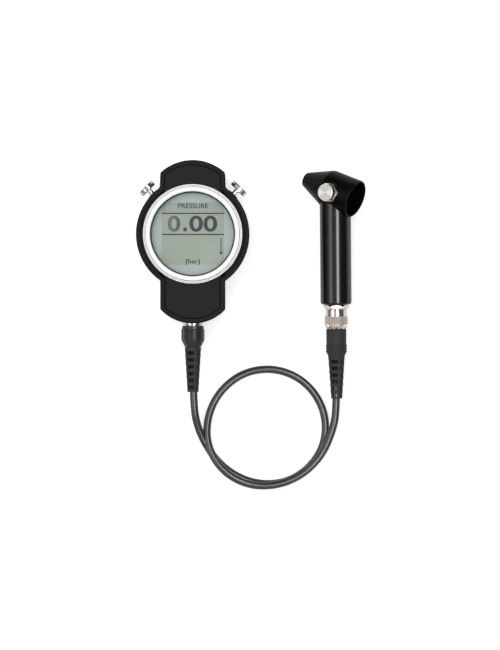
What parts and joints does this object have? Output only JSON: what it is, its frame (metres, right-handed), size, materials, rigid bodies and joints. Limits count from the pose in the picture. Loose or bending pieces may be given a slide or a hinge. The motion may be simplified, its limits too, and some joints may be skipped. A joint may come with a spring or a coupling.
{
  "type": "digital tire pressure gauge",
  "caption": "Handheld digital tire pressure gauge with a round display in a black housing, joined by a looped lead to a black pistol-style probe with a valve mouth and a bleed button.",
  "frame": {"origin": "the dial axis on the flat back face of the gauge housing", "axes": "+Z out of the dial face, +Y toward the top lug of the housing, +X toward the probe"},
  "size_m": [0.149, 0.2142, 0.0335],
  "materials": {
    "housing_black": "fine textured black moulding",
    "panel_black": "fine grained black inlay",
    "bezel_bright": "bright turned",
    "bright_plate": "bright plated, polished",
    "anodised_black": "satin black anodised",
    "head_black": "satin black",
    "grip_rubber": "matt dark moulding",
    "lead_black": "semi-gloss black sheath",
    "seal_rubber": "matt black",
    "lens_clear": "clear",
    "display": "pale grey-green reflective display",
    "inner_plastic": "plain moulding",
    "board_green": "lacquered circuit board",
    "chip_black": "moulded",
    "cell_shell": "plain sleeve",
    "plain_steel": "zinc plated",
    "contact_brass": "bright"
  },
  "bodies": {
    "gauge": {"front_housing": "housing_black", "back_cover": "housing_black", "battery_door": "housing_black", "housing_seal": "seal_rubber", "cover_screws": "plain_steel", "door_screw": "plain_steel", "face_panel": "panel_black", "bezel_ring": "bezel_bright", "lens_gasket": "seal_rubber", "dial_lens": "lens_clear", "lcd_panel": "display", "lcd_frame": "inner_plastic", "lcd_strips": "seal_rubber", "circuit_board": "board_green", "board_chips": "chip_black", "board_screws": "plain_steel", "battery_tray": "inner_plastic", "battery_cells": "cell_shell", "battery_contacts": "plain_steel", "button_seals": "seal_rubber", "button_switches": "chip_black", "gauge_socket": "bright_plate", "gauge_socket_nut": "contact_brass", "gauge_socket_core": "chip_black", "gauge_plug_core": "contact_brass", "gauge_plug_grip": "grip_rubber", "cord": "lead_black", "probe_plug_grip": "grip_rubber", "probe_plug_core": "contact_brass", "probe_socket_core": "chip_black", "probe_socket": "bright_plate", "probe_handle": "anodised_black", "probe_head": "head_black", "valve_seal": "seal_rubber", "seal_retainer": "head_black", "core_pin": "contact_brass", "pressure_sensor": "plain_steel", "sensor_board": "board_green", "bleed_bush": "bright_plate", "bleed_spring": "plain_steel", "left_spring": "plain_steel", "right_spring": "plain_steel"},
    "left_button": {"left_button": "bright_plate", "left_clip": "plain_steel"},
    "right_button": {"right_button": "bright_plate", "right_clip": "plain_steel"},
    "bleed_button": {"bleed_button": "bright_plate", "bleed_clip": "plain_steel"},
    "gauge_plug_ring": {"gauge_plug_ring": "housing_black"},
    "probe_plug_ring": {"probe_plug_ring": "bright_plate"}
  },
  "joints": [
    {"name": "left_button_press", "type": "slide", "parent": "gauge", "child": "left_button", "axis": [0.7071, -0.7071, 0], "range_m": [0, 0.0019], "stiffness_N_per_m": 400, "springref_m": -0.003, "deforming": ["left_spring"]},
    {"name": "right_button_press", "type": "slide", "parent": "gauge", "child": "right_button", "axis": [-0.7071, -0.7071, 0], "range_m": [0, 0.0019], "stiffness_N_per_m": 400, "springref_m": -0.003, "deforming": ["right_spring"]},
    {"name": "bleed_button_press", "type": "slide", "parent": "gauge", "child": "bleed_button", "axis": [0.4919, 0.0526, -0.869], "range_m": [0, 0.0014], "stiffness_N_per_m": 600, "springref_m": -0.003, "deforming": ["bleed_spring"]},
    {"name": "gauge_ring_turn", "type": "hinge", "parent": "gauge", "child": "gauge_plug_ring", "pos_m": [0, -0.066, 0.0124], "axis": [0, -1, 0], "continuous": true},
    {"name": "probe_ring_turn", "type": "hinge", "parent": "gauge", "child": "probe_plug_ring", "pos_m": [0.0933, -0.05477, 0.00939], "axis": [0.0096, -0.9984, -0.055], "continuous": true}
  ]
}
